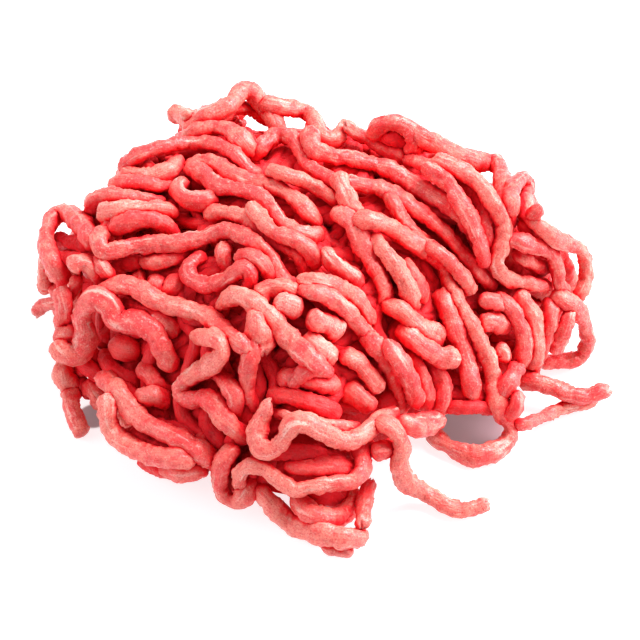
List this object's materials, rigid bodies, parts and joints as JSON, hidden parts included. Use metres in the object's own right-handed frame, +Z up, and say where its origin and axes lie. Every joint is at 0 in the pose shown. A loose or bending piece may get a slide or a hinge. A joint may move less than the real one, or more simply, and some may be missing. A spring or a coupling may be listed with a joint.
{
  "type": "minced meat heap",
  "caption": "Loose heap of raw minced meat: curled, crossing strands piled into a low mound, with stray ends on the table.",
  "frame": {"origin": "in the flat base, below the middle of the heap", "axes": "+Z up, +X to the right and +Y away as the heap is seen from its front"},
  "size_m": [0.1535, 0.1492, 0.0553],
  "materials": {
    "raw_meat": null
  },
  "bodies": {
    "root": {"mince_heap": "raw_meat"}
  },
  "joints": []
}
